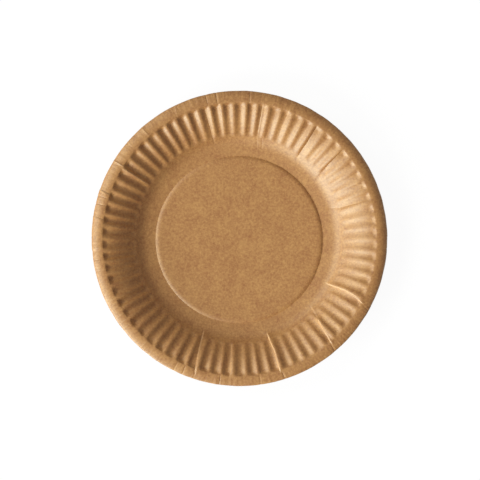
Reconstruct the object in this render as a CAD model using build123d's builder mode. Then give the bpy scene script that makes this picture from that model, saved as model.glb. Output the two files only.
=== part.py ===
from build123d import *
import os
from math import cos, radians, sin, tan

# Driving sizes, in millimetres and degrees
outer_diameter = 180.0
height = 14.5
board_thickness = 0.5
rim_width = 6.0
rim_turn = 42.0
crest_width = 0.6
crest_angle = 8.0
wall_width = 20.4
wall_angle = 40.0
foot_radius = 12.7
apron_width = 4.7
apron_angle = 7.5
rest_ring_width = 0.8
disc_rise = 0.7
step_angle = 25.0
flute_count = 70
flute_depth = 1.2
fuse_tolerance = 0.0001

# Places that follow from the driving sizes; the board is drawn by its middle line
half_board = board_thickness / 2
disc_level = disc_rise + half_board
crest_level = height - half_board
apron_rise = apron_width * tan(radians(apron_angle))
foot_width = foot_radius * (sin(radians(wall_angle)) - sin(radians(apron_angle)))
crest_radius = outer_diameter / 2 - rim_width
foot_start_radius = crest_radius - crest_width - wall_width - foot_width
apron_start_radius = foot_start_radius - apron_width
step_foot_radius = apron_start_radius - rest_ring_width
step_head_radius = step_foot_radius - disc_rise / tan(radians(step_angle))
rim_face_radius = rim_width / sin(radians(rim_turn))

# Centre of the plate: raised disc, its step, the ring it rests on, the sloping apron and the curved foot
with BuildPart() as centre:
    with BuildSketch(Plane.XZ):
        with BuildLine():
            disc = Line((0, disc_level), (step_head_radius, disc_level))
            step = Line(disc @ 1, (step_foot_radius, half_board))
            rest_ring = Line(step @ 1, (apron_start_radius, half_board))
            apron = Line(rest_ring @ 1, (foot_start_radius, half_board + apron_rise))
            foot = JernArc(apron @ 1, apron % 1, foot_radius, wall_angle - apron_angle)
        trace(line_width=board_thickness)
    revolve(axis=Axis.Z)

# Rim: narrow level crest, then the lip rolled down
with BuildPart() as rim:
    with BuildSketch(Plane.XZ):
        with BuildLine():
            crest = Line((crest_radius - crest_width, crest_level), (crest_radius, crest_level))
            lip = JernArc(crest @ 1, crest % 1, rim_face_radius - half_board, -rim_turn)
        trace(line_width=board_thickness)
    revolve(axis=Axis.Z)

# Ends of the wall in section, the corner where the slopes at its ends meet, and the normals there
wall_bottom = foot @ 1
wall_top = crest @ 0
bottom_slope = foot % 1
top_slope = Vector(cos(radians(crest_angle)), sin(radians(crest_angle)))
wall_span = wall_top - wall_bottom
corner_reach = wall_span.cross(top_slope).Z / bottom_slope.cross(top_slope).Z
wall_corner = wall_bottom + bottom_slope * corner_reach
bottom_normal = Vector(-bottom_slope.Y, bottom_slope.X)
top_normal = Vector(-top_slope.Y, top_slope.X)
corner_normal = (bottom_normal + top_normal) / (1 + bottom_normal.dot(top_normal))
level_normal = Vector(0, 1)


def wall_face(lift, groove_share):
    """Poles of one face of the wall, lifted off the middle line, at a share of the groove's depth.

    Sinking the corner by twice the depth sinks the middle of the curve by the depth, and not its ends.
    """
    return (
        wall_bottom + bottom_normal * lift,
        wall_corner + corner_normal * (lift - 2 * flute_depth * groove_share),
        wall_top + level_normal * lift,
    )


# One flute of the wall: two flanks, each lofted through radial sections from the ridge to a groove
groove_angle = 180 / flute_count
with BuildPart() as flute:
    for flank in (groove_angle, -groove_angle):
        for share in (0, 0.5, 1):
            with BuildSketch(Plane.XZ.rotated((0, 0, share * flank))):
                with BuildLine():
                    upper = Bezier(*wall_face(half_board, share))
                    lower = Bezier(*wall_face(-half_board, share))
                    Line(upper @ 0, lower @ 0)
                    Line(upper @ 1, lower @ 1)
                make_face()
        loft()

# All the flutes side by side make the wall
with BuildPart() as wall:
    with PolarLocations(0, flute_count):
        add(flute.part)

# Wall, centre and rim are one pressed board; the tolerance joins lofted edges to turned ones
with BuildPart() as plate:
    add(wall.part.fuse(centre.part, rim.part, tol=fuse_tolerance))

os.makedirs("parts", exist_ok=True)
plate.part.label = "plate"
export_step(plate.part, "parts/plate.step")
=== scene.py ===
from math import comb, cos, pi, radians, sin, tan

import bpy
import numpy as np
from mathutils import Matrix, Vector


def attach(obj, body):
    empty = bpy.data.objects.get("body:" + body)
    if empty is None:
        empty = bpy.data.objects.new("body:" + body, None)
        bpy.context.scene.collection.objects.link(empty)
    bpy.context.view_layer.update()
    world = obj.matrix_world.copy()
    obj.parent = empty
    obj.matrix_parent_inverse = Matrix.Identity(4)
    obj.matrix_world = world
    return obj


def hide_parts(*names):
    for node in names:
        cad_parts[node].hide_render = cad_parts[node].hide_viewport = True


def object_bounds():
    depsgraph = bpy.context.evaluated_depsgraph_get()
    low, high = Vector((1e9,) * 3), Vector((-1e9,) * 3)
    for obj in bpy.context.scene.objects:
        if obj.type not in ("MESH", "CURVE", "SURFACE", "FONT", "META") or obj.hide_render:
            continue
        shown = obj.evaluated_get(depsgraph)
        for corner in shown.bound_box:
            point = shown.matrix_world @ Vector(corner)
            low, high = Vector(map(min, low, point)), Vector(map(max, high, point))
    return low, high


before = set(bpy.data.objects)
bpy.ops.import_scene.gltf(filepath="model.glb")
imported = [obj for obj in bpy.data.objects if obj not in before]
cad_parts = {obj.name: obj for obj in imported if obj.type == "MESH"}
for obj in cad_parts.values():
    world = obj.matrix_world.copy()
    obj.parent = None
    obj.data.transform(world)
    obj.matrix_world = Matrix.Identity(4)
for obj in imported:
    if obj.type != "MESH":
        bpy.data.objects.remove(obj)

cad_low, cad_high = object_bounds()
rng = np.random.default_rng(7)

# Driving sizes in millimetres and degrees; the board is drawn by its middle line
metres = 0.001
outer_radius = (cad_high.x - cad_low.x) / 2 / metres
height = (cad_high.z - cad_low.z) / metres
half_board = 0.25
rim_width = 5.25
rim_turn = 42.0
crest_width = 1.1
wall_width = 20.65
wall_angle = 40.0
foot_radius = 12.7
apron_width = 4.92
apron_angle = 8.5
rest_ring_width = 0.5
ring_round = 0.2
disc_rise = 0.7
disc_sag = 0.4
step_width = 2.9
step_power = 2.6

# Poles of the wall curve, as shares of the way from each end to the corner where the end slopes meet
foot_poles = (0, 0.06, 0.3, 0.85)
crest_poles = (0.55, 0.12, 0.03, 0)

# Lip: flatter than a plain arc, curled more left and right than near and far, with a turned-down edge
lip_flatness = 1.35
curl_sideways = 0.25
curl_far = 0.1
edge_width = 0.7
edge_drop = 0.3

# The crest and the cut edge of the blank lie a little off the plate's axis, so the lip is wider on one side
crest_offset_y = -0.25
blank_offset_y = 0.3

# Flutes: narrow ridges, and grooves whose depth grows outwards and is greatest on one side of the plate
flute_count = 70
flute_depth = 1.3
flute_drift = 0.03
ridge_share = 0.34
groove_start = 2.6
groove_end = 3.0
inner_depth_share = 0.42
inner_depth_swing = 0.17
outer_depth_share = 1.25
outer_depth_swing = 0.36
depth_power = 1.4
depth_unevenness = 0.1
deep_side_angle = 167.0

# Folds pressed into the wall: angle and radius along each, which side stands higher, height and width.
# A side of 1 lifts the board anticlockwise of the fold, -1 the other side.
wall_laps = (
    (((286.5, 61), (287.4, 72), (287, 84)), 1, 0.85, 0.28),
    (((283.5, 58.5), (286.4, 62)), 1, 0.15, 0.3),
    (((314, 69), (312.6, 76), (311.2, 84.5)), 1, 0.85, 0.28),
    (((316.8, 61), (314, 70)), 1, 0.3, 0.28),
    (((333.3, 61), (334, 72), (333.5, 79), (332.1, 84)), 1, 0.85, 0.28),
    (((266, 64), (266, 84)), 1, 0.26, 0.28),
    (((249, 61), (250.4, 75), (252, 87)), 1, 0.36, 0.28),
    (((68.7, 70), (68.7, 84)), -1, 0.26, 0.25),
    (((80, 66), (80, 83)), -1, 0.22, 0.25),
    (((22, 79), (25, 85)), 1, 0.25, 0.25),
    (((161.5, 84), (160.8, 90)), 1, 0.5, 0.25),
    (((172.4, 84), (171.4, 90)), 1, 0.45, 0.25),
    (((205, 84), (205, 90)), -1, 0.15, 0.25),
)

# Creases that sink into the board: angle and radius along each, depth and width
wall_valleys = (
    (((38.4, 61), (40, 71), (40.7, 83)), 0.42, 0.8),
    (((55, 62), (55, 72), (55.4, 83)), 0.42, 0.8),
    (((19.2, 58), (17.3, 65), (16.7, 76)), 0.25, 0.8),
    (((248.6, 61), (250, 75), (251.2, 86)), 0.3, 0.8),
    (((104.6, 61), (105.3, 83)), 0.18, 0.5),
    (((76, 57), (77.5, 64)), 0.1, 0.4),
    (((79, 57), (80.5, 64)), 0.1, 0.4),
    (((232, 57), (235, 63)), 0.1, 0.4),
    (((240, 57), (243, 63)), 0.1, 0.4),
    (((48.1, 84), (48.1, 90)), 0.2, 0.5),
    (((85.9, 83), (85.9, 90)), 0.28, 0.5),
    (((99.3, 83), (99.3, 90)), 0.28, 0.5),
    (((103.4, 84), (103.4, 90)), 0.2, 0.4),
    (((243.4, 84), (243.4, 90)), 0.2, 0.5),
    (((278.2, 84), (278.2, 90)), 0.2, 0.5),
    (((287.6, 85), (288, 90)), 0.2, 0.4),
    (((310.8, 85), (310, 90)), 0.25, 0.4),
    (((331.6, 85), (330.5, 90)), 0.2, 0.4),
)

# Creases that stand up from the board: angle and radius along each, rise and width
wall_ridges = (
    (((149.1, 65), (149.2, 83)), 0.2, 0.8),
    (((148.4, 83), (148.4, 90)), 0.3, 0.5),
    (((131.6, 84), (131.6, 90)), 0.2, 0.4),
    (((117, 84), (116, 90)), 0.15, 0.4),
    (((25.4, 78), (22.4, 85)), 0.25, 0.4),
)

# Short creases straight across the lip
lip_valley_angles = (163.3, 166.4, 188.7, 193.1, 247, 262)
lip_ridge_angles = (184, 206, 208, 209.5, 213, 215.6, 218.1, 228)
lip_valley_depth = 0.28
lip_ridge_rise = 0.2
lip_crease_width = 0.3
lip_crease_start = 84.5
lip_crease_end = 90

# How far folds fade at their ends and laps slope back; the pale line along them is broken fibre and painted
# highlight
fold_fade = 2.5
lap_reach = 3.5
pale_width = 0.3
pale_share = 0.45

# Fine wrinkles that grow outwards over the lip, from just inside the crest
wrinkle_count = 45
wrinkle_height = 0.07
wrinkle_width = 0.35
wrinkle_lead = 0.5
wrinkle_growth = 2.0

# Slow warp of the wall, which grows outwards, and of the disc, whose turns are in radians
wall_warp = 0.05
wall_warp_growth = 10.0
disc_warp = 0.05
disc_warp_turn = 2.2
disc_warp_start = 0.6

# Fineness of the mesh
columns_per_flute = 16
columns_per_spoke = 8
wall_rows = 28
foot_rows = 8
step_rows = 6
lip_rows = 12
disc_rings = 6
under_row_skip = 3
inner_row_gap = 4.5
fan_gap = 6.0
angle_samples = 36000
crowding = 2.5
crowding_reach = 0.8

# Colours of the board: both ends of its mottle, its broken fibres with a painted highlight, and its sheen
dark_kraft = (0.312, 0.094, 0.006, 1)
pale_kraft = (0.582, 0.29, 0.072, 1)
# Pale colour for laps and raised creases: partly broken fibre, partly a painted highlight
broken_fibre_and_highlight_kraft = (0.9, 0.66, 0.38, 1)
sheen_tint = (0.86, 1, 0.88, 1)
sheen_level = 1.0
sheen_roughness = 0.56
refraction = 1.65

# Grain of the board: fineness of its fibres, its clouds and the hairlines of its lip, with depths in metres
fibre_scale = 700
fibre_detail = 5
fibre_roughness = 0.75
fibre_depth = 0.0001
fibre_strength = 0.18
cloud_scale = 90
cloud_detail = 3
cloud_share = 0.22
mottle_start = 0.34
mottle_end = 0.66
hairline_scale = 32
hairline_detail = 4
hairline_depth = 0.0004

# Floor and lamps in metres and degrees; a lamp's level is the light that it gives to level ground
floor_size = 8
floor_paper = (0.8, 0.8, 0.8, 1)
floor_shade = (0.07, 0.07, 0.07, 1)
floor_glow = 0.945
surround_colour = (1, 0.9, 0.93, 1)
surround_strength = 0.262
lamp_distance = 3.6
lamp_width = 2.1
lamp_height = 1.5
near_window = {"level": 0.515, "bearing": 217, "rise": 24.5, "colour": (0.965, 1, 1)}
far_window = {"level": 0.28, "bearing": 158, "rise": 36, "colour": (0.975, 1, 0.95)}

# Camera: height and sight in metres, lean in degrees, lens, sensor and aimed point in millimetres
camera_height = 1.5
lean_left = 1.15
lean_near = 2.9
lens = 183.4
sensor_width = 36
aim_x = 0.44
aim_y = -0.32
sight_end = 20

# Places that follow from the driving sizes
crest_radius = outer_radius - rim_width
crest_level = height - half_board
wall_bottom_radius = crest_radius - crest_width - wall_width
foot_start = wall_bottom_radius - foot_radius * (sin(radians(wall_angle)) - sin(radians(apron_angle)))
foot_level = half_board + apron_width * tan(radians(apron_angle))
base_radius = foot_start - apron_width
disc_radius = base_radius - rest_ring_width
step_start = disc_radius - step_width
lip_radius = (rim_width / sin(radians(rim_turn)) - half_board) * lip_flatness
wall_bottom = np.array([
    wall_bottom_radius,
    foot_level + foot_radius * (cos(radians(apron_angle)) - cos(radians(wall_angle))),
])
wall_top = np.array([crest_radius - crest_width, crest_level])
wall_corner = wall_bottom + np.array([1 / tan(radians(wall_angle)), 1]) * (crest_level - wall_bottom[1])


def lip_creases(angles, size):
    """Creases from the crest to the cut edge, one at each angle."""
    paths = [((angle, lip_crease_start), (angle, lip_crease_end)) for angle in angles]
    return tuple((path, size, lip_crease_width) for path in paths)


valleys = wall_valleys + lip_creases(lip_valley_angles, lip_valley_depth)
ridges = wall_ridges + lip_creases(lip_ridge_angles, lip_ridge_rise)


def dip(radius):
    """How far the disc hangs below its edge."""
    return disc_sag * (1 - (radius / step_start) ** 2)


def section_rows():
    """Points of the section from the disc's edge to the crest."""
    inner_row = step_start - inner_row_gap
    points = [(inner_row, disc_rise + half_board - dip(inner_row))]
    for share in np.linspace(0, 1, step_rows):
        radius = step_start + step_width * share
        points.append((radius, half_board + disc_rise * (1 - share**step_power)))
    points.append((base_radius - ring_round, half_board))
    for reach in (ring_round, apron_width / 2):
        points.append((base_radius + reach, half_board + reach * tan(radians(apron_angle))))
    for share in np.linspace(0, 1, foot_rows):
        turn = radians(apron_angle + (wall_angle - apron_angle) * share)
        radius = foot_start + foot_radius * (sin(turn) - sin(radians(apron_angle)))
        points.append((radius, foot_level + foot_radius * (cos(radians(apron_angle)) - cos(turn))))
    poles = [wall_bottom + (wall_corner - wall_bottom) * reach for reach in foot_poles]
    poles += [wall_top + (wall_corner - wall_top) * reach for reach in crest_poles]
    degree = len(poles) - 1
    for t in np.linspace(0, 1, wall_rows + 1)[1:]:
        weights = [comb(degree, k) * t**k * (1 - t) ** (degree - k) for k in range(degree + 1)]
        points.append(tuple(sum(weight * pole for weight, pole in zip(weights, poles))))
    points.append((crest_radius, crest_level))
    return np.array(points)


def spread_angles():
    """Angles of the mesh columns, closer together where folds run."""
    fine = np.linspace(0, 360, angle_samples, endpoint=False)
    density = np.ones_like(fine)
    for fold in wall_laps + valleys + ridges:
        path = fold[0]
        for angle, _ in path:
            gap = (fine - angle + 180) % 360 - 180
            density += crowding * np.exp(-((gap / crowding_reach) ** 2))
    reach = np.concatenate([[0], np.cumsum(density)])
    steps = np.arange(flute_count * columns_per_flute) / (flute_count * columns_per_flute)
    return np.radians(np.interp(steps, reach / reach[-1], np.append(fine, 360)))


def waves(angle, count, fewest_turns, turn_limit):
    """A smooth wave round the plate, of about unit size, made of a few whole-number turns."""
    total = np.zeros_like(angle)
    for turns in rng.integers(fewest_turns, turn_limit, count):
        total += np.sin(turns * angle + rng.uniform(0, 2 * pi))
    return total / count**0.5


def flute_share(angle):
    """Share of the groove depth round the plate: narrow ridges, broad grooves, slopes that agree."""
    pitch = 2 * pi / flute_count
    place = angle / pitch + flute_drift * waves(angle, count=5, fewest_turns=9, turn_limit=33)
    from_ridge = np.abs(place - np.round(place))
    ridge = ridge_share * (from_ridge / (ridge_share / 2)) ** 2
    groove = 1 - (1 - ridge_share) * ((0.5 - from_ridge) / ((1 - ridge_share) / 2)) ** 2
    return np.where(from_ridge < ridge_share / 2, ridge, groove)


def groove_depth(radius, angle):
    """Depth of the grooves: a short start at the foot, growth outwards and a rounded end below the crest.

    The press bit deeper on one side, so the depth also changes round the plate.
    """
    start = np.clip((radius - wall_bottom_radius) / groove_start, 0, 1)
    end = np.clip((wall_top[0] - radius) / groove_end, 0, 1)
    along = np.clip((radius - wall_bottom_radius) / wall_width, 0, 1) ** depth_power
    deep_side = np.cos(angle - radians(deep_side_angle))
    inner = inner_depth_share + inner_depth_swing * deep_side
    outer = outer_depth_share + outer_depth_swing * deep_side
    uneven = 1 + depth_unevenness * waves(angle, count=6, fewest_turns=11, turn_limit=40)
    ends = start * start * (3 - 2 * start) * np.sin(end * pi / 2)
    return flute_depth * uneven * ends * (inner + (outer - inner) * along)


def fold_gap(path, angle, radius):
    """Distance in millimetres anticlockwise from a fold, and a share that fades out at its ends."""
    by_radius = sorted((r, a) for a, r in path)
    radii = [r for r, _ in by_radius]
    turn = np.radians(np.interp(radius, radii, [a for _, a in by_radius]))
    gap = (angle - turn + pi) % (2 * pi) - pi
    inside = np.minimum(radius - radii[0], radii[-1] - radius)
    return gap * radius, np.clip(inside / fold_fade + 0.5, 0, 1)


def fold_height(angle, radius):
    """How far folds, wrinkles and warp lift the board in millimetres, and how pale its laps and raised
    creases are: broken fibre and painted highlight.
    """
    lift = np.zeros_like(radius)
    # The pale line along laps and raised creases is partly broken fibre and partly a painted highlight
    broken_and_highlight = np.zeros_like(radius)
    for path, side, step, width in wall_laps:
        gap, share = fold_gap(path, angle, radius)
        rise = step * (1 + np.tanh(side * gap / width)) / 2
        lift += share * rise * np.exp(-np.abs(gap) / lap_reach)
        broken_and_highlight += pale_share * share * step * np.exp(-((gap / pale_width) ** 2))
    for path, depth, width in valleys:
        gap, share = fold_gap(path, angle, radius)
        lift -= share * depth * np.exp(-np.abs(gap) / width)
    for path, rise, width in ridges:
        gap, share = fold_gap(path, angle, radius)
        lift += share * rise * np.exp(-np.abs(gap) / width)
        broken_and_highlight += pale_share * share * rise * np.exp(-((gap / pale_width) ** 2))
    on_lip = np.clip((radius - crest_radius + wrinkle_lead) / wrinkle_growth, 0, 1)
    for _ in range(wrinkle_count):
        turn = rng.uniform(0, 2 * pi)
        gap = ((angle - turn + pi) % (2 * pi) - pi) * radius
        lift += on_lip * rng.normal(0, wrinkle_height) * np.exp(-np.abs(gap) / wrinkle_width)
    up_wall = np.clip((radius - wall_bottom_radius) / wall_warp_growth, 0, 1)
    lift += wall_warp * up_wall * waves(angle, count=6, fewest_turns=20, turn_limit=60)
    return lift, np.clip(broken_and_highlight, 0, 1)


def middle_surface(angle):
    """Points of the board's middle line on every row and column, in millimetres."""
    points = section_rows()
    heading = np.gradient(points, axis=0)
    heading /= np.linalg.norm(heading, axis=1, keepdims=True)
    sink = groove_depth(points[:, :1], angle) * flute_share(angle)
    radius = points[:, :1] + heading[:, 1:] * sink
    level = points[:, 1:] - heading[:, :1] * sink
    crest_shift = crest_offset_y * np.sin(angle)
    radius += crest_shift * np.clip((points[:, :1] - wall_bottom_radius) / wall_width, 0, 1)
    width = rim_width - half_board / 2 + blank_offset_y * np.sin(angle) - crest_shift
    curl = 1 + curl_sideways * np.cos(2 * angle) + curl_far * np.sin(angle)
    bend = lip_radius / curl
    lip = width * np.sin(np.linspace(0, pi / 2, lip_rows + 1))[1:, None]
    edge = np.clip((lip - width) / edge_width + 1, 0, 1)
    lip_level = crest_level - bend + np.sqrt(bend**2 - lip**2)
    lip_level -= edge_drop * curl**2 * (1 - np.sqrt(1 - edge**2))
    radius = np.vstack([radius, crest_radius + crest_shift + lip])
    level = np.vstack([level, lip_level])
    return np.stack([radius * np.cos(angle), radius * np.sin(angle), level], axis=-1)


def outward_normals(surface):
    """Unit normals of the upper side, row by row."""
    along = np.gradient(surface, axis=0)
    around = np.roll(surface, -1, axis=1) - np.roll(surface, 1, axis=1)
    normals = np.cross(along, around)
    return normals / np.linalg.norm(normals, axis=-1, keepdims=True)


class PlateMesh:
    """Vertices and faces of the plate as they are laid down."""

    def __init__(self):
        self.vertices = []
        self.faces = []

    def lay(self, points):
        """Adds points in rows and returns the numbers of their vertices."""
        first = len(self.vertices)
        self.vertices += points.reshape(-1, 3).tolist()
        return np.arange(first, first + points[..., 0].size).reshape(points.shape[:-1])

    def join(self, rows, flip):
        """Quads between rows of vertices that run right round the plate."""
        after = np.roll(rows, -1, axis=1)
        quads = np.stack([rows[:-1], rows[1:], after[1:], after[:-1]], axis=-1).reshape(-1, 4)
        self.faces += (quads[:, ::-1] if flip else quads).tolist()

    def fill_disc(self, ring, angle, level, flip):
        """The disc inside the innermost row: a coarse fan, its rings and the step up in fineness."""
        spokes = angle[::columns_per_spoke]
        edge = step_start - fan_gap
        radii = np.linspace(edge / disc_rings, edge, disc_rings)[:, None]
        warp = disc_warp * np.cos(radii / edge * disc_warp_turn) * np.sin(2 * spokes + disc_warp_start)
        levels = level - dip(radii) + warp
        grid = self.lay(np.stack([radii * np.cos(spokes), radii * np.sin(spokes), levels], axis=-1))
        centre = len(self.vertices)
        self.vertices.append([0, 0, level - disc_sag])
        self.join(grid, flip)
        count = len(spokes)
        for k in range(count):
            near, far = grid[0][k], grid[0][(k + 1) % count]
            self.faces.append([centre, far, near] if flip else [centre, near, far])
            last = (k + 1) * columns_per_spoke
            fine = [ring[j % len(ring)] for j in range(k * columns_per_spoke, last + 1)]
            loop = [grid[-1][k], *fine, grid[-1][(k + 1) % count]]
            self.faces.append([int(v) for v in (loop[::-1] if flip else loop)])


def plate_mesh():
    """The whole board: upper face, under face and the cut edge of the lip."""
    angle = spread_angles()
    surface = middle_surface(angle)
    radius = np.hypot(surface[..., 0], surface[..., 1])
    lift, broken_and_highlight = fold_height(np.broadcast_to(angle, radius.shape), radius)
    surface = surface + outward_normals(surface) * lift[..., None]
    offset = outward_normals(surface) * half_board
    mesh = PlateMesh()
    upper = mesh.lay(surface + offset)
    under_rows = sorted({*range(0, len(surface), under_row_skip), len(surface) - 1})
    under = mesh.lay((surface - offset)[under_rows])
    mesh.join(upper, False)
    mesh.join(under, True)
    mesh.join(np.stack([upper[-1], under[-1]]), False)
    mesh.fill_disc(upper[0], angle, disc_rise + 2 * half_board, False)
    mesh.fill_disc(under[0], angle, disc_rise, True)
    data = bpy.data.meshes.new("kraft_plate")
    data.from_pydata((np.array(mesh.vertices) * metres).tolist(), [], mesh.faces)
    data.shade_smooth()
    # Pale colour along laps and raised creases: broken fibre and painted highlight
    pale_and_highlight = np.zeros(len(mesh.vertices))
    pale_and_highlight[upper] = broken_and_highlight
    data.attributes.new("broken_fibre_and_highlight", "FLOAT", "POINT").data.foreach_set("value", pale_and_highlight)
    step_foot = upper[step_rows]
    rings = {frozenset(pair) for row in (upper[-1], under[-1], step_foot)
             for pair in zip(row.tolist(), np.roll(row, -1).tolist())}
    sharp = data.attributes.new("sharp_edge", "BOOLEAN", "EDGE")
    sharp.data.foreach_set("value", [frozenset(edge.vertices) in rings for edge in data.edges])
    return data


def add_noise(tree, place, scale, detail):
    """A noise pattern, finer with a greater scale."""
    noise = tree.nodes.new("ShaderNodeTexNoise")
    noise.inputs["Scale"].default_value = scale
    noise.inputs["Detail"].default_value = detail
    tree.links.new(place, noise.inputs["Vector"])
    return noise


def kraft_colour(tree, place, fibre):
    """Brown mottle of fibres and clouds, paler along laps and raised creases: broken fibre and a painted
    highlight.
    """
    nodes = tree.nodes
    links = tree.links
    cloud = add_noise(tree, place, cloud_scale, cloud_detail)
    mottle = nodes.new("ShaderNodeMix")
    mottle.inputs["Factor"].default_value = cloud_share
    links.new(fibre.outputs["Fac"], mottle.inputs["A"])
    links.new(cloud.outputs["Fac"], mottle.inputs["B"])
    tone = nodes.new("ShaderNodeValToRGB")
    dark, light = tone.color_ramp.elements
    dark.position = mottle_start
    dark.color = dark_kraft
    light.position = mottle_end
    light.color = pale_kraft
    links.new(mottle.outputs["Result"], tone.inputs["Fac"])
    # Paler along laps and raised creases: broken fibre and painted highlight
    broken_and_highlight = nodes.new("ShaderNodeAttribute")
    broken_and_highlight.attribute_name = "broken_fibre_and_highlight"
    paled_and_highlighted = nodes.new("ShaderNodeMix")
    paled_and_highlighted.data_type = "RGBA"
    paled_and_highlighted.inputs["B"].default_value = broken_fibre_and_highlight_kraft
    links.new(broken_and_highlight.outputs["Fac"], paled_and_highlighted.inputs["Factor"])
    links.new(tone.outputs["Color"], paled_and_highlighted.inputs["A"])
    return paled_and_highlighted.outputs["Result"]


def kraft_relief(tree, place, fibre):
    """Fine grain all over, and hairlines that run across the lip."""
    nodes = tree.nodes
    links = tree.links
    split = nodes.new("ShaderNodeSeparateXYZ")
    links.new(place, split.inputs["Vector"])
    flat = nodes.new("ShaderNodeCombineXYZ")
    links.new(split.outputs["X"], flat.inputs["X"])
    links.new(split.outputs["Y"], flat.inputs["Y"])
    heading = nodes.new("ShaderNodeVectorMath")
    heading.operation = "NORMALIZE"
    links.new(flat.outputs["Vector"], heading.inputs[0])
    reach = nodes.new("ShaderNodeVectorMath")
    reach.operation = "LENGTH"
    links.new(flat.outputs["Vector"], reach.inputs[0])
    hairlines = add_noise(tree, heading.outputs["Vector"], hairline_scale, hairline_detail)
    on_lip = nodes.new("ShaderNodeMapRange")
    on_lip.inputs["From Min"].default_value = (crest_radius - wrinkle_lead) * metres
    on_lip.inputs["From Max"].default_value = (crest_radius - wrinkle_lead + wrinkle_growth) * metres
    links.new(reach.outputs["Value"], on_lip.inputs["Value"])
    grain = nodes.new("ShaderNodeBump")
    grain.inputs["Strength"].default_value = fibre_strength
    grain.inputs["Distance"].default_value = fibre_depth
    links.new(fibre.outputs["Fac"], grain.inputs["Height"])
    wrinkle = nodes.new("ShaderNodeBump")
    wrinkle.inputs["Distance"].default_value = hairline_depth
    links.new(on_lip.outputs["Result"], wrinkle.inputs["Strength"])
    links.new(hairlines.outputs["Fac"], wrinkle.inputs["Height"])
    links.new(grain.outputs["Normal"], wrinkle.inputs["Normal"])
    return wrinkle.outputs["Normal"]


def kraft_material():
    """Unbleached pressed fibre with a dull sheen."""
    material = bpy.data.materials.new("kraft_board")
    material.use_nodes = True
    tree = material.node_tree
    shader = tree.nodes["Principled BSDF"]
    shader.inputs["Roughness"].default_value = sheen_roughness
    shader.inputs["Specular IOR Level"].default_value = sheen_level
    shader.inputs["IOR"].default_value = refraction
    shader.inputs["Specular Tint"].default_value = sheen_tint
    place = tree.nodes.new("ShaderNodeTexCoord").outputs["Object"]
    fibre = add_noise(tree, place, fibre_scale, fibre_detail)
    fibre.inputs["Roughness"].default_value = fibre_roughness
    tree.links.new(kraft_colour(tree, place, fibre), shader.inputs["Base Color"])
    tree.links.new(kraft_relief(tree, place, fibre), shader.inputs["Normal"])
    return material


def add_plate():
    """The plate in place of its plain solid."""
    plate = bpy.data.objects.new("kraft_plate", plate_mesh())
    bpy.context.scene.collection.objects.link(plate)
    plate.data.materials.append(kraft_material())
    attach(plate, "root")
    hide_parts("plate")


def larger(tree, first, second):
    """The larger of two values."""
    node = tree.nodes.new("ShaderNodeMath")
    node.operation = "MAXIMUM"
    tree.links.new(first, node.inputs[0])
    tree.links.new(second, node.inputs[1])
    return node.outputs["Value"]


def floor_material():
    """White paper: bright where it is seen, with a trace of the plate's shadow."""
    material = bpy.data.materials.new("floor_white")
    material.use_nodes = True
    tree = material.node_tree
    nodes = tree.nodes
    links = tree.links
    nodes.clear()
    paper = nodes.new("ShaderNodeBsdfDiffuse")
    paper.inputs["Color"].default_value = floor_paper
    shade = nodes.new("ShaderNodeBsdfDiffuse")
    shade.inputs["Color"].default_value = floor_shade
    glow = nodes.new("ShaderNodeEmission")
    glow.inputs["Strength"].default_value = floor_glow
    seen = nodes.new("ShaderNodeAddShader")
    links.new(glow.outputs["Emission"], seen.inputs[0])
    links.new(shade.outputs["BSDF"], seen.inputs[1])
    path = nodes.new("ShaderNodeLightPath").outputs
    straight = larger(tree, path["Is Camera Ray"], path["Is Transmission Ray"])
    mix = nodes.new("ShaderNodeMixShader")
    links.new(larger(tree, straight, path["Is Glossy Ray"]), mix.inputs["Fac"])
    links.new(paper.outputs["BSDF"], mix.inputs[1])
    links.new(seen.outputs["Shader"], mix.inputs[2])
    end = nodes.new("ShaderNodeOutputMaterial")
    links.new(mix.outputs["Shader"], end.inputs["Surface"])
    return material


def add_floor():
    """The white ground that the plate stands on."""
    bpy.ops.mesh.primitive_plane_add(size=floor_size)
    floor = bpy.context.object
    floor.name = "floor"
    floor.data.materials.append(floor_material())


def add_lamp(name, level, bearing, rise, colour):
    """A soft lamp that lights level ground to a given level, from a bearing and a rise in degrees."""
    flat = lamp_distance * cos(radians(rise))
    lamp = bpy.data.lights.new(name, "AREA")
    lamp.color = colour
    lamp.shape = "RECTANGLE"
    lamp.size = lamp_width
    lamp.size_y = lamp_height
    lamp.energy = level * pi**2 * lamp_distance**2 / sin(radians(rise))
    light = bpy.data.objects.new(name, lamp)
    bpy.context.scene.collection.objects.link(light)
    light.location = (
        flat * cos(radians(bearing)),
        flat * sin(radians(bearing)),
        lamp_distance * sin(radians(rise)),
    )
    light.rotation_euler = (pi / 2 - radians(rise), 0, radians(bearing) + pi / 2)
    light.visible_camera = False


def add_light():
    """A low window on the near left and a higher, weaker one on the far left, in a dim even surrounding."""
    world = bpy.data.worlds.new("surround")
    bpy.context.scene.world = world
    world.use_nodes = True
    background = world.node_tree.nodes["Background"]
    background.inputs["Color"].default_value = surround_colour
    background.inputs["Strength"].default_value = surround_strength
    add_lamp("near_window", **near_window)
    add_lamp("far_window", **far_window)


def add_camera():
    """High above the plate, a few degrees off its axis towards the near side and the left."""
    data = bpy.data.cameras.new("above")
    data.sensor_width = sensor_width
    data.lens = lens
    data.clip_end = sight_end
    camera = bpy.data.objects.new("above", data)
    bpy.context.scene.collection.objects.link(camera)
    camera_x = aim_x * metres - camera_height * tan(radians(lean_left))
    camera_y = aim_y * metres - camera_height * tan(radians(lean_near))
    camera.location = (camera_x, camera_y, camera_height)
    camera.rotation_euler = (radians(lean_near), -radians(lean_left), 0)
    bpy.context.scene.camera = camera


add_plate()
add_floor()
add_light()
add_camera()
bpy.context.scene.view_settings.view_transform = "Standard"
